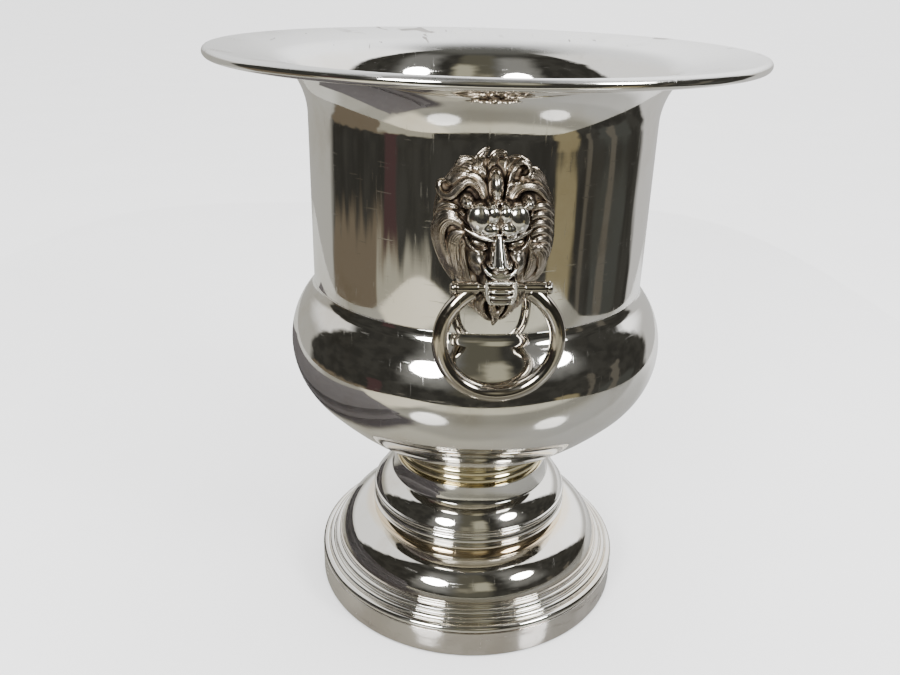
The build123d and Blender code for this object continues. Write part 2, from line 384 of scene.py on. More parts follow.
def blurred(values, cells):
    reach = int(cells * 2.5)
    weight = np.exp(-0.5 * (np.arange(-reach, reach + 1) / cells) ** 2)
    weight /= weight.sum()
    for axis in (0, 1):
        pad = [(0, 0), (0, 0)]
        pad[axis] = (reach, reach)
        padded = np.pad(values, pad, mode="edge")
        values = np.apply_along_axis(lambda line: np.convolve(line, weight, "valid"), axis, padded)
    return values


class Relief:
    """Cast relief: height off the barrel over u across and z up, all in millimetres."""

    def __init__(self):
        across = np.arange(-MASK_REACH, MASK_REACH + RELIEF_PITCH / 2, RELIEF_PITCH)
        upward = np.arange(MASK_LOW, MASK_HIGH + RELIEF_PITCH / 2, RELIEF_PITCH)
        self.u, self.z = np.meshgrid(across, upward)
        self.height = np.full_like(self.u, SUNK)
        self.ground = np.zeros_like(self.u)

    def local(self, at, half, tilt):
        """Offsets from a point, turned by tilt and divided by the half sizes."""
        du, dz = self.u - at[0], self.z - at[1]
        c, s = math.cos(math.radians(tilt)), math.sin(math.radians(tilt))
        return (c * du + s * dz) / half[0], (c * dz - s * du) / half[1]

    def lay(self, form, soft):
        """Smooth union with a form."""
        overlap = np.clip(soft - np.abs(self.height - form), 0, None)
        self.height = np.maximum(self.height, form) + overlap**2 / (4 * soft)

    def boss(self, at, half, top, tilt=0.0, power=2.0, soft=0.4, base=0.0):
        """Rounded lump whose top stands that far off the barrel."""
        a, b = self.local(at, half, tilt)
        q = np.abs(a) ** power + np.abs(b) ** power
        self.lay(np.where(q < 1, base + (top - base) * np.sqrt(np.clip(1 - q, 0, 1)), OUTSIDE), soft)

    def swell(self, at, half, rise):
        """Soft bulge, or a hollow for a negative rise, added to what is there."""
        a, b = self.local(at, half, 0.0)
        self.height += rise * np.clip(1 - a**2 - b**2, 0, 1) ** 1.5

    def sink(self, at, half, floor, tilt=0.0):
        """Socket cut down to a floor."""
        a, b = self.local(at, half, tilt)
        weight = np.clip(2.2 * (1 - a**2 - b**2), 0, 1)
        weight = weight * weight * (3 - 2 * weight)
        self.height += weight * (np.minimum(self.height, floor) - self.height)

    def settle(self):
        """Takes the present form as the ground that hair lies on."""
        self.ground = np.maximum(blurred(self.height, 6), 0.3)

    def trace(self, points, reach):
        """Cells near a path: which they are, how far along it, and how far to its side."""
        path = smooth_path(points)
        step = np.diff(path, axis=0)
        run = np.hypot(step[:, 0], step[:, 1])
        along = np.concatenate(([0], np.cumsum(run))) / run.sum()
        low, high = path.min(0) - reach, path.max(0) + reach
        near = (self.u > low[0]) & (self.u < high[0]) & (self.z > low[1]) & (self.z < high[1])
        off = np.stack((self.u[near], self.z[near]), 1)[:, None] - path[None, :-1]
        part = np.clip((off * step).sum(2) / run**2, 0, 1)
        away = off - part[..., None] * step
        gap = np.hypot(away[..., 0], away[..., 1])
        best = gap.argmin(1)
        rows = np.arange(len(best))
        away = away[rows, best]
        side = np.sign(step[best, 0] * away[:, 1] - step[best, 1] * away[:, 0])
        place = along[best] + part[rows, best] * (along[best + 1] - along[best])
        return near, place, gap[rows, best] * side

    def ridge(self, points, half_width, top_start, top_end):
        """Narrow raised line at a height of its own."""
        near, place, distance = self.trace(points, half_width)
        width = half_width * (0.35 + 0.65 * np.sqrt(np.clip(4 * place * (1 - place), 0, 1)))
        t = np.abs(distance) / width
        top = top_start + (top_end - top_start) * place
        form = np.full_like(self.height, OUTSIDE)
        form[near] = np.where(t < 1, top - 1.2 + 1.2 * np.sqrt(np.clip(1 - t**2, 0, 1)), OUTSIDE)
        self.lay(form, 0.3)

    def lock(self, points, half_width, rise, strands=3, peak=0.4, root=0.0):
        """Lock of hair: widest at its peak, pointed at its tip, with strands that follow it."""
        near, place, distance = self.trace(points, half_width * 1.6)
        swell = place ** (math.log(0.5) / math.log(peak))
        fade = np.sqrt(np.clip(4 * swell * (1 - swell), 0, 1))
        fade = np.where(place < peak, np.maximum(fade, root + (1 - root) * place / peak * (root > 0)), fade)
        t = distance / np.maximum(half_width * fade, 1e-3)
        cap = np.sqrt(np.clip(1 - t**2, 0, 1))
        cords = np.sqrt(np.clip(1 - (np.mod((t + 1) * strands, 2) - 1) ** 2, 0, 1))
        level = self.ground[near] + fade * (rise * cap**0.8 + 0.45 * (cords - 0.6) * cap**0.3)
        groove = 0.5 * fade * np.clip(1.45 - np.abs(t), 0, 0.45) / 0.45
        inside = np.abs(t) < 1
        cut = self.height[near] - np.where(inside, 0, groove)
        self.height[near] = np.maximum(cut, np.where(inside, level, OUTSIDE))


def mane(r):
    # crown
    r.lock([(-3.0, 223), (-7, 228.0), (-11.0, 229.0), (-15.0, 224.6)], 2.4, 1.2, 4)
    r.lock([(-5, 219), (-9, 224), (-13.5, 224.8), (-18.0, 219.4)], 2.6, 1.2, 5)
    r.lock([(-8, 226), (-5, 230.5), (-1.7, 234.2)], 1.6, 1.5, 2, peak=0.35)
    r.lock([(-1, 224), (-2, 228), (0.5, 232.0), (3.4, 232.2), (4.6, 230.0)], 1.5, 1.6, 2)
    r.lock([(4, 226), (6.6, 230.2), (10.4, 229.4), (13.6, 226)], 1.6, 1.1, 3)
    r.lock([(9, 222), (13.2, 226), (17.0, 222.6), (19.2, 216.4)], 2.1, 1.2, 4)
    # hollow curl at the upper right
    r.swell((9.2, 226.2), (3.9, 3.7), -2.6)
    curl = [(3.4, 217), (4.6, 223), (6.4, 228), (10.5, 229.8), (13.2, 227), (11.6, 224), (8.8, 224.6)]
    r.lock(curl, 1.25, 2.4, 2, peak=0.45)
    # wavy locks and the hooked one at the left
    r.lock([(-13.5, 213), (-18, 213.8), (-21.6, 210.6)], 1.5, 1.6, 2)
    r.lock([(-13.5, 210), (-18, 211), (-22, 207.4)], 1.5, 1.5, 2)
    r.swell((-18, 219.6), (3.0, 2.8), -1.8)
    hook = [(-3.6, 214), (-5.6, 220), (-9.5, 223.4), (-13, 220.4)]
    hook += [(-16.5, 216), (-20.4, 217), (-20.4, 221), (-17.5, 221.8)]
    r.lock(hook, 1.7, 2.4, 3, peak=0.35)
    r.lock([(-3.2, 216), (-4, 221.5), (-7.5, 225.5), (-12, 224)], 1.4, 2.0, 2)
    # over the right ear
    r.lock([(3.2, 216), (4.2, 220.5), (7.4, 222.5), (11, 221.5)], 1.3, 2.0, 2)
    r.lock([(4.2, 214.5), (6.5, 219.4), (11, 221.6), (16, 220), (20.6, 213.5)], 1.8, 2.3, 3)
    # short locks stacked down the right side
    for i in range(6):
        z = 212.5 - 3.1 * i
        tip = 22.4 - 0.12 * i * i
        r.lock([(12.4, z - 0.6), (15.5, z + 1.6), (19.0, z + 0.6), (tip, z - 3.8)], 1.55, 1.7, 3, peak=0.45)
    # long fans from the temples down to the ring
    r.lock([(-11.5, 201), (-14.2, 199), (-13.6, 192), (-10.5, 184.5)], 2.6, 0.9, 5, root=0.4)
    r.lock([(-12, 204), (-16.4, 202), (-16.4, 192), (-13.4, 183)], 2.6, 1.3, 6, root=0.3)
    sweep = [(-11.6, 206), (-17.4, 209.6), (-22, 203.4), (-19.6, 192), (-15.8, 183.4)]
    r.lock(sweep, 2.6, 1.9, 6, peak=0.35, root=0.2)
    r.lock([(11.6, 201), (14.6, 198), (13.6, 191), (10.8, 184.8)], 2.4, 0.9, 5, root=0.4)
    r.lock([(12.6, 199), (17.6, 196), (18, 190), (14.6, 183)], 2.2, 1.5, 5, peak=0.45, root=0.3)


def forehead(r):
    """Knotted forehead of six lobes that run into each other."""
    r.boss((0.2, 200), (12.6, 13), 10.5, power=2.6, soft=1.5)
    r.boss((0.2, 210.6), (10.9, 6.6), 13.4, power=2.6, soft=0.5, base=7)
    lobes = ((-6.6, 210.9, 4.4, 5.6), (7.2, 211.1, 4.0, 5.4), (-1.9, 212.8, 2.7, 3.9), (2.6, 212.9, 2.6, 3.8))
    lobes += ((-3.4, 207.2, 3.6, 3.0), (3.8, 207.4, 3.5, 3.0))
    for u, z, wide, high in lobes:
        r.boss((u, z), (wide, high), 15.4, soft=0.7, base=12.4)
    # tuft that hangs over its middle, and the beads under the tuft
    r.boss((-0.4, 221.6), (2.8, 6.4), 13.2, soft=0.3, base=7)
    for i in range(-2, 3):
        r.boss((-0.2 + 1.4 * i, 216.5), (0.8, 0.9), 12.4, soft=0.3, base=10)


def eyes(r):
    for side in (-1, 1):
        r.sink((side * 6.9, 201.2), (6.4, 3.6), 8.8, tilt=side * 14)
        r.boss((side * 6.7, 201.2), (3.3, 1.6), 10.6, tilt=side * 14, soft=0.3, base=8.6)
        lid = [(side * 11.6, 203.6), (side * 10.2, 199.8), (side * 7, 198.0), (side * 3.6, 199.6)]
        r.ridge(lid, 0.8, 10.6, 10.2)
        brow = [(side * 12.2, 207.0), (side * 8.4, 204.9), (side * 4.4, 203.8), (side * 0.8, 203.6)]
        r.ridge(brow, 1.0, 12.0, 15.0)
        r.boss((side * 6.2, 193.6), (4.6, 6.6), 12.8, tilt=side * -16, soft=2.5, base=4)
        # ears and the small beads under them
        r.boss((side * 10.8 + 0.2, 216.0), (2.5, 2.7), 13.4, soft=0.15, base=8)
        r.boss((side * 12.2, 211.8), (1.05, 1.05), 10.8, soft=0.2, base=8)


def nose(r):
    """Tapering bridge with a blunt rounded tip and two nostril wings."""
    tip, root = 194.6, 205.2
    up = np.clip((r.z - tip) / (root - tip), 0, 1)
    t = np.abs(r.u) / (4.4 - 2.2 * up**0.8)
    top = 21.8 - 7.0 * up**0.9
    rounded_tip = np.clip((r.z - tip + 1.8) / 3.2, 0, 1)
    end = np.sqrt(np.clip(1 - (1 - rounded_tip) ** 2, 0, 1))
    form = 8 + (top - 8) * end * np.clip(1 - t**2, 0, 1) ** 0.55
    r.lay(np.where((t < 1) & (r.z > tip - 1.8) & (r.z < root + 0.7), form, OUTSIDE), 0.8)
    for side in (-1, 1):
        r.boss((side * 3.2, 194.9), (1.7, 1.3), 19.0, soft=0.8, base=10)


def muzzle(r):
    r.boss((0, 191.2), (6.2, 4.2), 17.8, power=2.6, soft=1.2, base=8)
    r.ridge([(-5.8, 194.4), (-4.0, 191.8), (0, 190.6), (4.0, 191.8), (5.8, 194.4)], 1.1, 18.6, 18.6)
    # jaw frame in front of the ring pin, with the mouth's bands inside it
    r.boss((0, 185.4), (6.0, 5.2), 17.6, power=6, soft=0.2, base=8)
    jaw = [(-5.2, 190.6), (-5.3, 187), (-4.9, 183.4), (-3.8, 180.6)]
    for side in (-1, 1):
        r.ridge([(side * u, z) for u, z in jaw], 1.0, 20.8, 18.4)
    for z, top, high in ((189.2, 19.6, 0.95), (186.2, 20.2, 1.0), (184.0, 20.0, 1.0), (181.6, 18.6, 1.1)):
        r.boss((0, z), (5.0, high), top, power=3, soft=0.15, base=17.4)
    for i in range(-6, 7):
        r.boss((i * 0.7, 189.6), (0.34, 0.7), 20.0, soft=0.1, base=18.6)
    r.boss((0, 179.8), (4.4, 2.2), 14.4, power=2.4, soft=0.8, base=6)


def beard(r):
    r.lock([(-5.5, 183), (-10.5, 180), (-10, 175), (-5.5, 171.5)], 2.3, 1.8, 3, root=0.4)
    r.lock([(5.5, 183), (10, 180.5), (9.4, 176), (4.8, 172)], 2.2, 1.8, 3, root=0.4)
    r.lock([(-3, 181), (-7, 177), (-6, 171.5), (-2, 167.4)], 1.9, 2.4, 3, root=0.3)
    r.lock([(3, 181), (6.4, 177.4), (4.6, 172), (0.6, 168.2)], 1.9, 2.4, 3, root=0.3)
    r.lock([(1.4, 180), (2.4, 175.5), (-0.5, 171), (-2.4, 173.5), (-1, 175.6)], 1.3, 3.1, 2)
    r.lock([(-0.8, 180), (-2.4, 175), (0, 170), (-1.4, 165.4)], 1.8, 2.8, 3, root=0.4)


def lion():
    """The whole relief: a shield with a raised face, then hair, features and beard."""
    r = Relief()
    r.boss((0, 205), (22.6, 25.5), 6.0, power=2.3, soft=0.5, base=1.0)
    r.boss((-0.6, 178), (10.5, 10.5), 4.2, power=1.7, soft=1.5, base=0.6)
    r.boss((0, 203), (15, 19), 8.5, power=2.2, soft=3)
    r.settle()
    mane(r)
    forehead(r)
    eyes(r)
    nose(r)
    muzzle(r)
    beard(r)
    r.height = blurred(r.height, 0.7)
    return r


def kept_blocks(height):
    """Square blocks of cells that hold any of the relief."""
    rows, columns = ((n - 1) // BACK_STEP for n in height.shape)
    raised = height > SUNK + 0.1
    kept = np.zeros((rows, columns), bool)
    for i in range(BACK_STEP + 1):
        for j in range(BACK_STEP + 1):
            kept |= raised[i::BACK_STEP, j::BACK_STEP][:rows, :columns]
    return kept


def block_side(block, side):
    """Cells along one side of a block, counter-clockwise seen from the front."""
    i, j = (n * BACK_STEP for n in block)
    steps = range(BACK_STEP)
    if side == 0:
        return [(i, j + k) for k in steps]
    if side == 1:
        return [(i + k, j + BACK_STEP) for k in steps]
    if side == 2:
        return [(i + BACK_STEP, j + BACK_STEP - k) for k in steps]
    return [(i + BACK_STEP - k, j) for k in steps]


def cast_mask(name, relief, turn):
    """Closed mesh of the relief on the barrel: fine in front, coarse where the barrel hides it."""
    kept = kept_blocks(relief.height)
    wide = relief.u.shape[1]
    x = relief.u - MASK_LEAN * (relief.z - 186) + MASK_SHIFT
    barrel = np.sqrt(BARREL_RADIUS**2 - x**2)
    front = np.stack((x, -barrel - relief.height, relief.z), 2).reshape(-1, 3)
    back = np.stack((x, -barrel + 0.7, relief.z), 2).reshape(-1, 3)
    faces = []
    neighbours = ((-1, 0), (0, 1), (1, 0), (0, -1))
    for block in zip(*np.nonzero(kept)):
        i0, j0 = (n * BACK_STEP for n in block)
        for i in range(i0, i0 + BACK_STEP):
            for j in range(j0, j0 + BACK_STEP):
                a = i * wide + j
                faces.append((a, a + 1, a + wide + 1, a + wide))
        outline = []
        for side, (di, dj) in enumerate(neighbours):
            cells = [i * wide + j for i, j in block_side(block, side)]
            i, j = block[0] + di, block[1] + dj
            open_side = not (0 <= i < kept.shape[0] and 0 <= j < kept.shape[1] and kept[i, j])
            outline += cells if open_side else cells[:1]
            if open_side:
                last = block_side(block, (side + 1) % 4)[0]
                run = cells + [last[0] * wide + last[1]]
                faces += [(b, a, a + len(front), b + len(front)) for a, b in zip(run, run[1:])]
        faces.append([a + len(front) for a in reversed(outline)])
    used = np.unique(np.concatenate([np.array(face) for face in faces]))
    renumber = np.zeros(2 * len(front), int)
    renumber[used] = np.arange(len(used))
    points = np.vstack((front, back))[used] * (turn, turn, 1) * MM
    piece = make_object(name, points, [tuple(int(renumber[a]) for a in face) for face in faces])
    # how deep each point lies below its surroundings; the cast finish paints tarnish and painted shade by it
    depth = np.clip((blurred(relief.height, 4) - relief.height) / 1.2, 0, 1).reshape(-1)
    cavity = piece.data.attributes.new("cavity", "FLOAT", "POINT")
    cavity.data.foreach_set("value", np.concatenate((depth, depth))[used])
    return piece


# ---- rings ----
ring_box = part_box("front_ring")
knuckle_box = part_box("front_ring_knuckles")
pin_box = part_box("front_ring_pin")
RING_OUTER = half_size(ring_box, 0)
WIRE_RADIUS = half_size(ring_box, 1)
RING_RADIUS = RING_OUTER - WIRE_RADIUS
RING_CENTRE = mm(ring_box[0][2]) + RING_OUTER
PIN_HEIGHT = middle(pin_box, 2)
PIN_DISTANCE = -middle(pin_box, 1)
PIN_END = mm(pin_box[1][0])
PIN_RADIUS = 1.5
PIN_HEAD_RADIUS = half_size(pin_box, 2)
KNUCKLE_END = mm(knuckle_box[1][0])
KNUCKLE_RADIUS = half_size(knuckle_box, 2)
KNUCKLE_LENGTH = 8.0
KNUCKLE_BORE = 1.57
KNUCKLE_INSET = 0.05
KNUCKLE_BLEND = 9.0
END_ROUNDING = 0.6
END_LEAST = 0.3


def swing_ring(name, turn):
    """Round wire that thins a little in depth to run into its two knuckles."""
    end = math.asin((PIN_HEIGHT - 1.2 - RING_CENTRE) / RING_RADIUS)
    start, stop = math.pi - end, 2 * math.pi + end
    count, around = 220, 48
    points, faces = [], []
    for i in range(count + 1):
        part = i / count
        angle = start + (stop - start) * part
        near_end = min(part, 1 - part) * RING_RADIUS * (stop - start)
        blend = min(1.0, near_end / KNUCKLE_BLEND)
        thin = KNUCKLE_RADIUS - KNUCKLE_INSET
        deep = thin + (WIRE_RADIUS - thin) * blend**1.5
        cap = max(END_LEAST, math.sqrt(1 - max(0.0, 1 - near_end / END_ROUNDING) ** 2))
        for j in range(around):
            phase = 2 * math.pi * j / around
            radius = RING_RADIUS + WIRE_RADIUS * cap * math.cos(phase)
            y = -PIN_DISTANCE + deep * cap * math.sin(phase)
            points.append((turn * radius * math.cos(angle), turn * y, RING_CENTRE + radius * math.sin(angle)))
    for i in range(count):
        for j in range(around):
            k = (j + 1) % around
            a, b = i * around, (i + 1) * around
            faces.append((a + j, a + k, b + k, b + j))
    faces.append(tuple(range(around - 1, -1, -1)))
    faces.append(tuple(count * around + j for j in range(around)))
    return make_object(name, np.array(points) * MM, faces)


def turned_along_pin(section, turn, steps=64):
    """Points and faces of a section of (x, radius) turned about the ring pin."""
    points = []
    for i in range(steps):
        angle = 2 * math.pi * i / steps
        for x, radius in section:
            y = -PIN_DISTANCE + radius * math.cos(angle)
            points.append((turn * x * MM, turn * y * MM, (PIN_HEIGHT + radius * math.sin(angle)) * MM))
    return points, turned_faces(steps, len(section))


def knuckles(name, turn):
    """Two short tubes with rounded ends, one on each end of the ring."""
    points, faces = [], []
    low, high = KNUCKLE_END - KNUCKLE_LENGTH, KNUCKLE_END
    tube = Outline(low, KNUCKLE_BORE, 90).line(low, KNUCKLE_RADIUS - 0.5).turn(0.5, -90)
    tube.line(high - 0.5, KNUCKLE_RADIUS).turn(0.5, -90).line(high, KNUCKLE_BORE)
    section = thinned(rounded(tube.points, spacing=0.08, blur=0.1), angle=4)
    for side in (-1, 1):
        more, more_faces = turned_along_pin([(side * x, r) for x, r in section], turn)
        faces += [tuple(a + len(points) for a in (face if side > 0 else face[::-1])) for face in more_faces]
        points += more
    return make_object(name, points, faces)


def ring_pin(name, turn):
    """Plain rod with a low domed head at each end."""
    head = PIN_END - 0.8
    half = Outline(0, PIN_RADIUS, 0).line(head, PIN_RADIUS).line(head, PIN_HEAD_RADIUS)
    half.aim(50).bend(PIN_END, 0.01)
    right = np.array(half.points)
    section = np.vstack((right[:0:-1] * (-1, 1), right))
    points, faces = turned_along_pin(section[::-1], turn)
    return make_object(name, points, faces)


def outward(piece):
    """Faces turned to look outward."""
    with reshaped(piece.data) as form:
        bmesh.ops.recalc_face_normals(form, faces=form.faces)
    return piece


relief = lion()
masks, rings = {}, {}
for where, turn in (("front", 1), ("back", -1)):
    masks[where + "_mask"] = cast_mask(where + "_lion_mask", relief, turn)
    rings[where + "_ring_pin"] = outward(ring_pin(where + "_hinge_pin", turn))
    rings[where + "_ring"] = outward(swing_ring(where + "_swing_ring", turn))
    rings[where + "_ring_knuckles"] = outward(knuckles(where + "_ring_barrels", turn))
for node, piece in (*masks.items(), *rings.items()):
    swings = node.endswith(("_ring", "_ring_knuckles"))
    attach(piece, node.split("_")[0] + "_handle" if swings else "bucket")
    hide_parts(node)


# ---- camera ----
def place_camera():
    """Held close above the rim, a little to the left of the front lion."""
    azimuth = math.radians(-5.7)
    distance, height = 0.3826, 0.2928
    pitch, yaw, roll = (math.radians(a) for a in (23.4, -1.75, 1.45))
    ahead = Vector((math.sin(yaw) * math.cos(pitch), math.cos(yaw) * math.cos(pitch), -math.sin(pitch)))
    across = Vector((math.cos(yaw), -math.sin(yaw), 0))
    upward = across.cross(ahead)
    right = across * math.cos(roll) + upward * math.sin(roll)
    up = -across * math.sin(roll) + upward * math.cos(roll)
    turn = Matrix.Rotation(azimuth, 4, "Z")
    axes = Matrix((right, up, -ahead)).transposed().to_4x4()
    axes.translation = Vector((0, -distance, height))
    data = bpy.data.cameras.new("camera")
    data.lens = 34.4
    camera = linked("camera", data)
    camera.matrix_world = turn @ axes
    bpy.context.scene.camera = camera


place_camera()


# ---- surroundings ----
class Graph:
    """Short ways to build a node tree."""

    def __init__(self, tree):
        self.tree = tree
        self.tree.nodes.clear()

    def node(self, kind, **values):
        made = self.tree.nodes.new(kind)
        for name, value in values.items():
            setattr(made, name, value)
        return made

    def feed(self, socket, value):
        """Links a socket, or sets it to a constant."""
        if isinstance(value, bpy.types.NodeSocket):
            self.tree.links.new(value, socket)
        else:
            socket.default_value = value

    def math(self, operation, *values, clamp=False):
        made = self.node("ShaderNodeMath", operation=operation, use_clamp=clamp)
        for socket, value in zip(made.inputs, values):
            self.feed(socket, value)
        return made.outputs[0]

    def ramp(self, value, low, high, out_low=0.0, out_high=1.0):
        """Value from low to high becomes out_low to out_high, with soft ends."""
        made = self.node("ShaderNodeMapRange", interpolation_type="SMOOTHSTEP")
        numbers = (value, low, high, out_low, out_high)
        for socket, number in zip(made.inputs, numbers):
            self.feed(socket, number)
        return made.outputs[0]

    def mix(self, factor, a, b):
        """Mix of two colours, each an RGB tuple or a socket."""
        made = self.node("ShaderNodeMix", data_type="RGBA")
        self.feed(made.inputs[0], factor)
        for socket, value in ((made.inputs[6], a), (made.inputs[7], b)):
            self.feed(socket, (*value, 1) if isinstance(value, tuple) else value)
        return made.outputs[2]

    def noise(self, vector, scale, detail=4.0, rough=0.5, distortion=0.0):
        made = self.node("ShaderNodeTexNoise")
        self.feed(made.inputs["Vector"], vector)
        numbers = {"Scale": scale, "Detail": detail, "Roughness": rough, "Distortion": distortion}
        for name, number in numbers.items():
            made.inputs[name].default_value = number
        return made.outputs[0]

    def parts(self, vector):
        """The x, y and z of a vector."""
        made = self.node("ShaderNodeSeparateXYZ")
        self.feed(made.inputs[0], vector)
        return made.outputs

    def times(self, a, b):
        return self.math("MULTIPLY", a, b)

    def patch(self, axes, middles, halves, soft):
        """1 inside a box on those two axes and 0 outside, with soft edges."""
        inside = []
        for axis, middle, half in zip(axes, middles, halves):
            off = self.math("ABSOLUTE", self.math("SUBTRACT", axis, float(middle)))
            inside.append(self.ramp(off, float(half - soft / 2), float(half + soft / 2), 1.0, 0.0))
        return self.times(*inside)

    def surface(self, shader, kind="Material"):
        self.feed(self.node("ShaderNodeOutput" + kind).inputs["Surface"], shader.outputs[0])


WALL_LOW_LEFT, WALL_LOW_RIGHT = (0.50, 0.49, 0.45), (0.72, 0.71, 0.69)
WALL_HIGH_LEFT, WALL_HIGH_RIGHT = (1.3, 1.3, 1.29), (2.2, 2.2, 2.22)
DARK_ROOM = (0.036, 0.035, 0.031)
# what the silver reflects: azimuth from -Y towards +X, elevation, half sizes, softness, colour
ROOM_PATCHES = (
    (0, 32, 15, 34, 10, (0.11, 0.105, 0.08)),
    (9, 28, 8, 12, 9, (0.46, 0.44, 0.33)),
    (-7, 18, 6, 6, 8, (0.24, 0.225, 0.17)),
    (-32, 32, 15, 26, 16, (0.26, 0.26, 0.245)),
    (48, 38, 15, 24, 16, (0.22, 0.22, 0.21)),
    (0, 90, 400, 22, 20, (0.13, 0.13, 0.12)),
    (-88, -25, 30, 9, 3, (0.17, 0.14, 0.10)),
    (-56, -27, 20, 9, 3, (0.42, 0.40, 0.32)),
    (-64, -10, 5, 7, 2, (0.075, 0.045, 0.045)),
    (50, -20, 8, 8, 3, (0.28, 0.24, 0.14)),
    (88, -18, 14, 6, 4, (0.07, 0.072, 0.065)),
    (66, -8, 2, 14, 2, (0.12, 0.11, 0.09)),
    (85, -10, 3, 14, 2, (0.13, 0.12, 0.10)),
)
# azimuth, distance and height in metres, width and height of the lamp, radiance
LAMPS = ((-32, 0.90, 0.56, (0.36, 0.34), 34.0), (48, 0.90, 0.70, (0.34, 0.32), 34.0))
LIGHT_TARGET = (0, 0, 0.12)
SKYLIGHT = 9.0
BACKDROP = (2.3, 2.3, 2.33)
BACKDROP_RADIUS, BACKDROP_HEIGHT, BACKDROP_WALL = 14_900, 20_000, 100
PALE_TABLE_RADIUS, PALE_TABLE_DROP = 15.0, 0.0004
# half sizes of the table top that only reflections see, and how square its corners are
TABLE_LEFT, TABLE_RIGHT, TABLE_FRONT, TABLE_BACK = 0.46, 0.43, 0.50, 0.75
TABLE_CORNER = 5
# the dark block left of the bucket, also seen only in reflections
BLOCK_SIZE, BLOCK_ROUNDING, BLOCK_PLACE = (0.17, 0.42, 0.045), 0.02, (-0.208, 0.05, 0.0235)


def surroundings():
    """A pale wall behind and a dark room in front, as the silver mirrors them."""
    world = bpy.data.worlds.new("room")
    bpy.context.scene.world = world
    world.use_nodes = True
    g = Graph(world.node_tree)
    direction = g.node("ShaderNodeTexCoord").outputs["Generated"]
    ragged = g.noise(direction, 7.0, detail=5.0)
    x, y, z = g.parts(direction)
    azimuth = g.math("DEGREES", g.math("ARCTAN2", x, g.times(y, -1.0)))
    elevation = g.math("DEGREES", g.math("ARCSINE", z))
    wobble = g.times(g.math("SUBTRACT", ragged, 0.5), 10.0)
    azimuth_ragged = g.math("ADD", azimuth, wobble)
    elevation_ragged = g.math("ADD", elevation, wobble)
    # the wall is lighter to the right and much lighter higher up
    right = g.ramp(x, -0.17, 0.17)
    wall_low = g.mix(right, WALL_LOW_LEFT, WALL_LOW_RIGHT)
    wall_high = g.mix(right, WALL_HIGH_LEFT, WALL_HIGH_RIGHT)
    wall = g.mix(g.ramp(elevation, 2.0, 16.0), wall_low, wall_high)
    lean = g.times(g.math("MAXIMUM", elevation, 0.0), 0.6)
    behind = g.ramp(g.math("ADD", g.math("ABSOLUTE", azimuth_ragged), lean), 115.0, 121.0)
    room = g.mix(g.ramp(ragged, 0.35, 0.65), DARK_ROOM, tuple(1.5 * c for c in DARK_ROOM))
    colour = g.mix(behind, room, wall)
    for azimuth_at, elevation_at, wide, high, soft, tint in ROOM_PATCHES:
        axes = azimuth_ragged, elevation_ragged
        colour = g.mix(g.patch(axes, (azimuth_at, elevation_at), (wide, high), soft), colour, tint)
    light = g.node("ShaderNodeBackground")
    g.feed(light.inputs["Color"], colour)
    g.surface(light, "World")


def disc(name, rings, steps, z, edge):
    """Flat round sheet; edge gives its radius at an angle."""
    points = [(0, 0, z)]
    faces = []
    for ring in range(1, rings + 1):
        for i in range(steps):
            angle = 2 * math.pi * i / steps
            radius = edge(angle) * ring / rings
            points.append((radius * math.cos(angle), radius * math.sin(angle), z))
    for i in range(steps):
        j = (i + 1) % steps
        faces.append((0, 1 + i, 1 + j))
        for ring in range(1, rings):
            a, b = 1 + (ring - 1) * steps, 1 + ring * steps
            faces.append((a + i, b + i, b + j, a + j))
    return make_object(name, points, faces)


# patches of painted light and shadow on the table that the silver mirrors, darker in front and under the dark
# block: place, half sizes and softness in metres, colour
TABLE_PATCHES = (
    ((0.0, 0.0), (0.125, 0.125), 0.04, (0.155, 0.15, 0.128)),
    ((0.24, 0.05), (0.20, 0.22), 0.14, (0.12, 0.12, 0.115)),
    ((0.16, 0.30), (0.30, 0.16), 0.16, (0.30, 0.30, 0.30)),
    ((-0.30, 0.40), (0.30, 0.25), 0.12, (0.19, 0.19, 0.175)),
    ((-0.20, 0.05), (0.09, 0.22), 0.03, (0.024, 0.022, 0.023)),
    ((0.0, -0.38), (0.46, 0.14), 0.10, (0.17, 0.165, 0.135)),
    ((0.0, -0.27), (0.46, 0.07), 0.08, (0.070, 0.068, 0.058)),
    ((-0.34, -0.34), (0.12, 0.16), 0.05, (0.24, 0.225, 0.18)),
)


def stage_material(name, rough, colour_of):
    material = bpy.data.materials.new(name)
    material.use_nodes = True
    g = Graph(material.node_tree)
    shader = g.node("ShaderNodeBsdfPrincipled")
    g.feed(shader.inputs["Base Color"], colour_of(g, g.node("ShaderNodeTexCoord").outputs["Object"]))
    shader.inputs["Roughness"].default_value = rough
    g.surface(shader)
    return material


# table top for reflections only: a darker copy of the table with its light and shadow painted in
def mirrored_table(g, place):
    x, y, _ = g.parts(place)
    wobble = g.times(g.math("SUBTRACT", g.noise(place, 9.0), 0.5), 0.05)
    x, y = g.math("ADD", x, wobble), g.math("ADD", y, wobble)
    colour = (0.105, 0.102, 0.088)
    for at, half, soft, tint in TABLE_PATCHES:
        colour = g.mix(g.patch((x, y), at, half, soft), colour, tint)
    return colour


def dark_felt(g, place):
    return g.mix(g.noise(place, 40.0), (0.024, 0.021, 0.022), (0.036, 0.033, 0.034))


def plain_table(g, place):
    return g.mix(g.noise(place, 9.0), (0.74, 0.74, 0.745), (0.79, 0.79, 0.80))


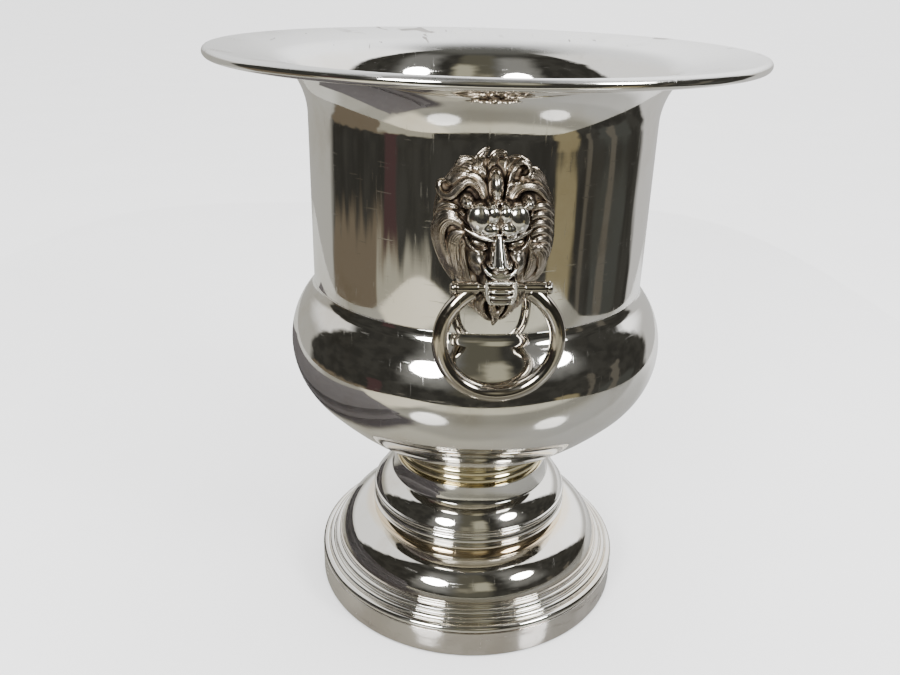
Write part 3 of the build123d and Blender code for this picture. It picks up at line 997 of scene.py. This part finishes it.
def stage_set():
    """Plain pale table and backdrop, and a smaller, darker table top that only reflections see, with light
    and shadow painted on it.
    """

    def near_edge(angle):
        side = TABLE_LEFT if abs(angle - math.pi) < math.pi / 2 else TABLE_RIGHT
        end = TABLE_FRONT if math.sin(angle) < 0 else TABLE_BACK
        across, along = abs(math.cos(angle) / side), abs(math.sin(angle) / end)
        return (across**TABLE_CORNER + along**TABLE_CORNER) ** (-1 / TABLE_CORNER)

    mirrored = disc("table_mirrored", 6, 96, 0.0, near_edge)
    mirrored.data.materials.append(stage_material("table_in_silver", 0.10, mirrored_table))
    flag = linked("dark_flag", bpy.data.meshes.new("dark_flag"))
    with reshaped(flag.data) as form:
        bmesh.ops.create_cube(form, size=1.0)
        bmesh.ops.scale(form, verts=form.verts, vec=BLOCK_SIZE)
        bmesh.ops.bevel(form, geom=form.edges[:], offset=BLOCK_ROUNDING, segments=5, affect="EDGES")
        bmesh.ops.translate(form, verts=form.verts, vec=BLOCK_PLACE)
    flag.data.materials.append(stage_material("dark_felt", 0.9, dark_felt))
    for piece in (mirrored, flag):
        piece.visible_camera = False
        piece.visible_shadow = False
        piece.visible_diffuse = False
    table = disc("table", 12, 96, -PALE_TABLE_DROP, lambda angle: PALE_TABLE_RADIUS)
    table.data.materials.append(stage_material("pale_table", 0.45, plain_table))
    table.visible_glossy = False
    outside, inside = BACKDROP_RADIUS, BACKDROP_RADIUS - BACKDROP_WALL
    wall = [(outside, -100), (outside, BACKDROP_HEIGHT), (inside, BACKDROP_HEIGHT), (inside, -100)]
    backdrop = lathe("backdrop", wall, steps=96)
    material = bpy.data.materials.new("pale_backdrop")
    material.use_nodes = True
    g = Graph(material.node_tree)
    glow = g.node("ShaderNodeEmission")
    glow.inputs["Color"].default_value = (*BACKDROP, 1)
    g.surface(glow)
    backdrop.data.materials.append(material)
    for rays in ("visible_glossy", "visible_diffuse", "visible_shadow", "visible_transmission"):
        setattr(backdrop, rays, False)


def add_light(name, kind, place, **values):
    data = bpy.data.lights.new(name, kind)
    for key, value in values.items():
        setattr(data, key, value)
    light = linked(name, data)
    light.location = place
    light.rotation_euler = (Vector(LIGHT_TARGET) - Vector(place)).to_track_quat("-Z", "Y").to_euler()
    return light


def lights():
    """Wide soft light from above for the table, and two lamps that the silver shows."""
    above = add_light("skylight", "SUN", (0.1, -0.2, 2.0), energy=SKYLIGHT, angle=math.radians(130))
    above.visible_glossy = False
    for azimuth, away, height, (wide, high), radiance in LAMPS:
        a = math.radians(azimuth)
        place = (away * math.sin(a), -away * math.cos(a), height)
        power = radiance * math.pi * math.pi / 4 * wide * high
        lamp = add_light(f"lamp_{azimuth}", "AREA", place, shape="ELLIPSE", size=wide, size_y=high)
        lamp.data.energy = power
        lamp.visible_camera = False


surroundings()
stage_set()
lights()


# ---- materials ----
SILVER = (0.865, 0.845, 0.80)
TARNISH = (0.50, 0.40, 0.25)
HAZE_WHITE = (0.90, 0.90, 0.885)
RIM_DARK_MARKS = (0.16, 0.125, 0.10)
# heights in metres of the rim's top and of the stained lines in the foot
RIM_TOP = (0.2515, 0.2555)
STEP_LINE = (0.0365, 0.0408)
BEAD_LINE = (0.0215, 0.0240)


class Finish(Graph):
    """A metal surface built up in layers."""

    def __init__(self, name, tint, rough):
        self.material = bpy.data.materials.new(name)
        self.material.use_nodes = True
        super().__init__(self.material.node_tree)
        self.place = self.node("ShaderNodeTexCoord").outputs["Object"]
        self.height = self.parts(self.place)["Z"]
        self.upward = self.parts(self.node("ShaderNodeNewGeometry").outputs["Normal"])["Z"]
        self.cloud = self.noise(self.place, 24.0, detail=5.0, rough=0.6)
        self.tint = tint
        self.rough = rough
        self.relief = None

    def stretched(self, scale, x, y, z, detail=2.0):
        """Noise drawn out along one way."""
        mapping = self.node("ShaderNodeMapping")
        self.feed(mapping.inputs["Vector"], self.place)
        mapping.inputs["Scale"].default_value = (x, y, z)
        return self.noise(mapping.outputs[0], scale, detail=detail)

    def paint(self, mask, colour):
        self.tint = self.mix(mask, self.tint, colour)

    def roughen(self, mask, amount):
        self.rough = self.math("ADD", self.rough, self.times(mask, amount))

    def raise_by(self, value, depth):
        """Adds a height field, in metres."""
        part = self.times(value, depth)
        self.relief = part if self.relief is None else self.math("ADD", self.relief, part)

    def between(self, low, high, soft):
        """1 between two heights in metres."""
        above = self.ramp(self.height, low - soft, low + soft)
        below = self.ramp(self.height, high - soft, high + soft, 1.0, 0.0)
        return self.times(above, below)

    def done(self):
        shader = self.node("ShaderNodeBsdfPrincipled")
        shader.inputs["Metallic"].default_value = 1.0
        self.feed(shader.inputs["Base Color"], self.tint)
        self.feed(shader.inputs["Roughness"], self.rough)
        bump = self.node("ShaderNodeBump")
        bump.inputs["Distance"].default_value = 1.0
        self.feed(bump.inputs["Height"], self.relief)
        self.feed(shader.inputs["Normal"], bump.outputs[0])
        self.surface(shader)
        return self.material


def worn_plate(name, tint, rough, tarnish=0.3, smudge=0.10, scratch=1.0):
    """Hand-polished plate: slow waves, polishing lines, stray scratches, smudges and yellow tarnish."""
    f = Finish(name, tint, rough)
    f.raise_by(f.noise(f.place, 30.0, detail=1.0), 0.00004)
    f.raise_by(f.stretched(30.0, 1, 1, 42), 0.0000008 * scratch)
    stray = f.ramp(f.stretched(90.0, 14, 1, 1, detail=1.0), 0.70, 0.74)
    other = f.ramp(f.stretched(70.0, 1, 1.5, 16, detail=1.0), 0.71, 0.75)
    marks = f.math("ADD", stray, other, clamp=True)
    f.raise_by(marks, -0.0000025 * scratch)
    f.roughen(marks, 0.12)
    smears = f.ramp(f.noise(f.place, 85.0, detail=6.0, rough=0.65), 0.48, 0.70)
    f.roughen(f.times(smears, f.ramp(f.cloud, 0.42, 0.62)), smudge)
    f.paint(f.times(f.ramp(f.cloud, 0.46, 0.74), tarnish), TARNISH)
    return f


def upper_plate():
    """Bright barrel whose rim is cloudy on top, with dark spots and streaks."""
    f = worn_plate("plate_upper", SILVER, 0.045)
    on_top = f.times(f.ramp(f.upward, 0.25, 0.60), f.ramp(f.height, *RIM_TOP))
    milky = f.times(on_top, f.ramp(f.noise(f.place, 40.0, detail=4.0), 0.25, 0.5, 0.75, 1.0))
    f.paint(milky, HAZE_WHITE)
    f.roughen(milky, 0.26)
    # dark spots and streaks painted on the rim's top
    spots = f.ramp(f.noise(f.place, 55.0, detail=3.0, rough=0.45, distortion=0.6), 0.665, 0.70)
    streaks = f.ramp(f.stretched(38.0, 5, 1.2, 1, detail=3.0), 0.685, 0.72)
    patchy = f.ramp(f.noise(f.place, 12.0, detail=1.0), 0.46, 0.60)
    dark = f.times(f.math("MAXIMUM", spots, streaks), patchy)
    f.paint(f.times(f.times(dark, on_top), 0.75), RIM_DARK_MARKS)
    return f.done()


def bowl_plate():
    """The bulge, more smeared and yellow towards the neck."""
    f = worn_plate("plate_bowl", (0.84, 0.82, 0.775), 0.05, tarnish=0.35, smudge=0.16)
    low = f.ramp(f.height, 0.085, 0.125, 1.0, 0.0)
    prints = f.ramp(f.noise(f.place, 120.0, detail=5.0, rough=0.7), 0.50, 0.62)
    f.roughen(f.times(low, prints), 0.14)
    f.paint(f.times(low, 0.25), TARNISH)
    return f.done()


def foot_plate():
    """The domes, with a warm line of old tarnish in the step."""
    f = worn_plate("plate_foot", (0.85, 0.83, 0.78), 0.045, tarnish=0.35, smudge=0.10)
    f.paint(f.times(f.between(*STEP_LINE, 0.0004), 0.5), (0.86, 0.70, 0.46))
    f.paint(f.times(f.between(*BEAD_LINE, 0.0005), 0.35), TARNISH)
    return f.done()


def gilt_tone_plate():
    """The collar, yellower than the rest."""
    return worn_plate("silver_gilt_tone", (0.84, 0.75, 0.50), 0.07, tarnish=0.5).done()


def band_plate():
    """The base band, scuffed and blotched."""
    f = worn_plate("silver_worn", (0.78, 0.745, 0.71), 0.10, tarnish=0.25, smudge=0.22, scratch=3.0)
    scuffs = f.ramp(f.stretched(60.0, 1, 1, 7, detail=4.0), 0.56, 0.72)
    f.paint(f.times(scuffs, 0.6), (0.38, 0.33, 0.31))
    f.roughen(scuffs, 0.15)
    blotches = f.ramp(f.noise(f.place, 48.0, detail=5.0, rough=0.6), 0.46, 0.60)
    f.paint(f.times(blotches, 0.4), (0.56, 0.51, 0.49))
    return f.done()


def rough_silver(name, tint):
    """Duller silver with a fine grain, for what is cast or drawn."""
    f = worn_plate(name, tint, 0.10, tarnish=0.35, smudge=0.12, scratch=2.0)
    f.raise_by(f.noise(f.place, 900.0, detail=3.0), 0.000006)
    return f


def mask_silver():
    """The lions, tarnished dark and golden where polishing does not reach, with painted shade in the low
    relief and the hollows.
    """
    f = rough_silver("silver_cast", (0.80, 0.78, 0.73))
    # low relief near the barrel painted dark brown: partly tarnish, partly painted shade
    reach = f.math("ABSOLUTE", f.parts(f.place)["Y"])
    low_relief_tarnish_and_shade = f.ramp(reach, 0.0850, 0.0905, 1.0, 0.0)
    f.paint(f.times(low_relief_tarnish_and_shade, 0.85), (0.30, 0.25, 0.195))
    f.roughen(low_relief_tarnish_and_shade, 0.14)
    # hollows painted brown with tarnish and painted shade, the deepest nearly black with painted shade
    depth = f.node("ShaderNodeAttribute", attribute_name="cavity").outputs["Fac"]
    f.paint(f.times(f.ramp(depth, 0.0, 0.30), 0.85), (0.22, 0.165, 0.11))
    f.paint(f.ramp(depth, 0.22, 0.75), (0.035, 0.026, 0.02))
    f.roughen(f.ramp(depth, 0.02, 0.5), 0.35)
    return f.done()


def plain_metal(name, tint, rough):
    """Metal of the hidden fixings."""
    return worn_plate(name, tint, rough, tarnish=0.4, smudge=0.1, scratch=4.0).done()


finishes = {
    "bucket_body": upper_plate(),
    "lower_bowl": bowl_plate(),
    "upper_foot": foot_plate(),
    "neck_collar": gilt_tone_plate(),
    "base_band": band_plate(),
}
finishes["rim_bead"] = finishes["bucket_body"]
finishes["lower_foot"] = finishes["upper_foot"]
for node, piece in shells.items():
    piece.data.materials.append(finishes[node])
cast, wire = mask_silver(), rough_silver("silver_wire", (0.44, 0.41, 0.36)).done()
for pieces, material in ((masks, cast), (rings, wire)):
    for piece in pieces.values():
        piece.data.materials.append(material)
brass = plain_metal("brass_fixings", (0.72, 0.55, 0.29), 0.16)
steel = plain_metal("steel_fixings", (0.55, 0.55, 0.55), 0.22)
fixing_silver = plain_metal("silver_fixings", (0.80, 0.78, 0.73), 0.14)
for name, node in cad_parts.items():
    node.data.materials.clear()
    if "spring" in name:
        node.data.materials.append(steel)
    elif "mask_washers" in name or "mask_nuts" in name:
        node.data.materials.append(fixing_silver)
    else:
        node.data.materials.append(brass)
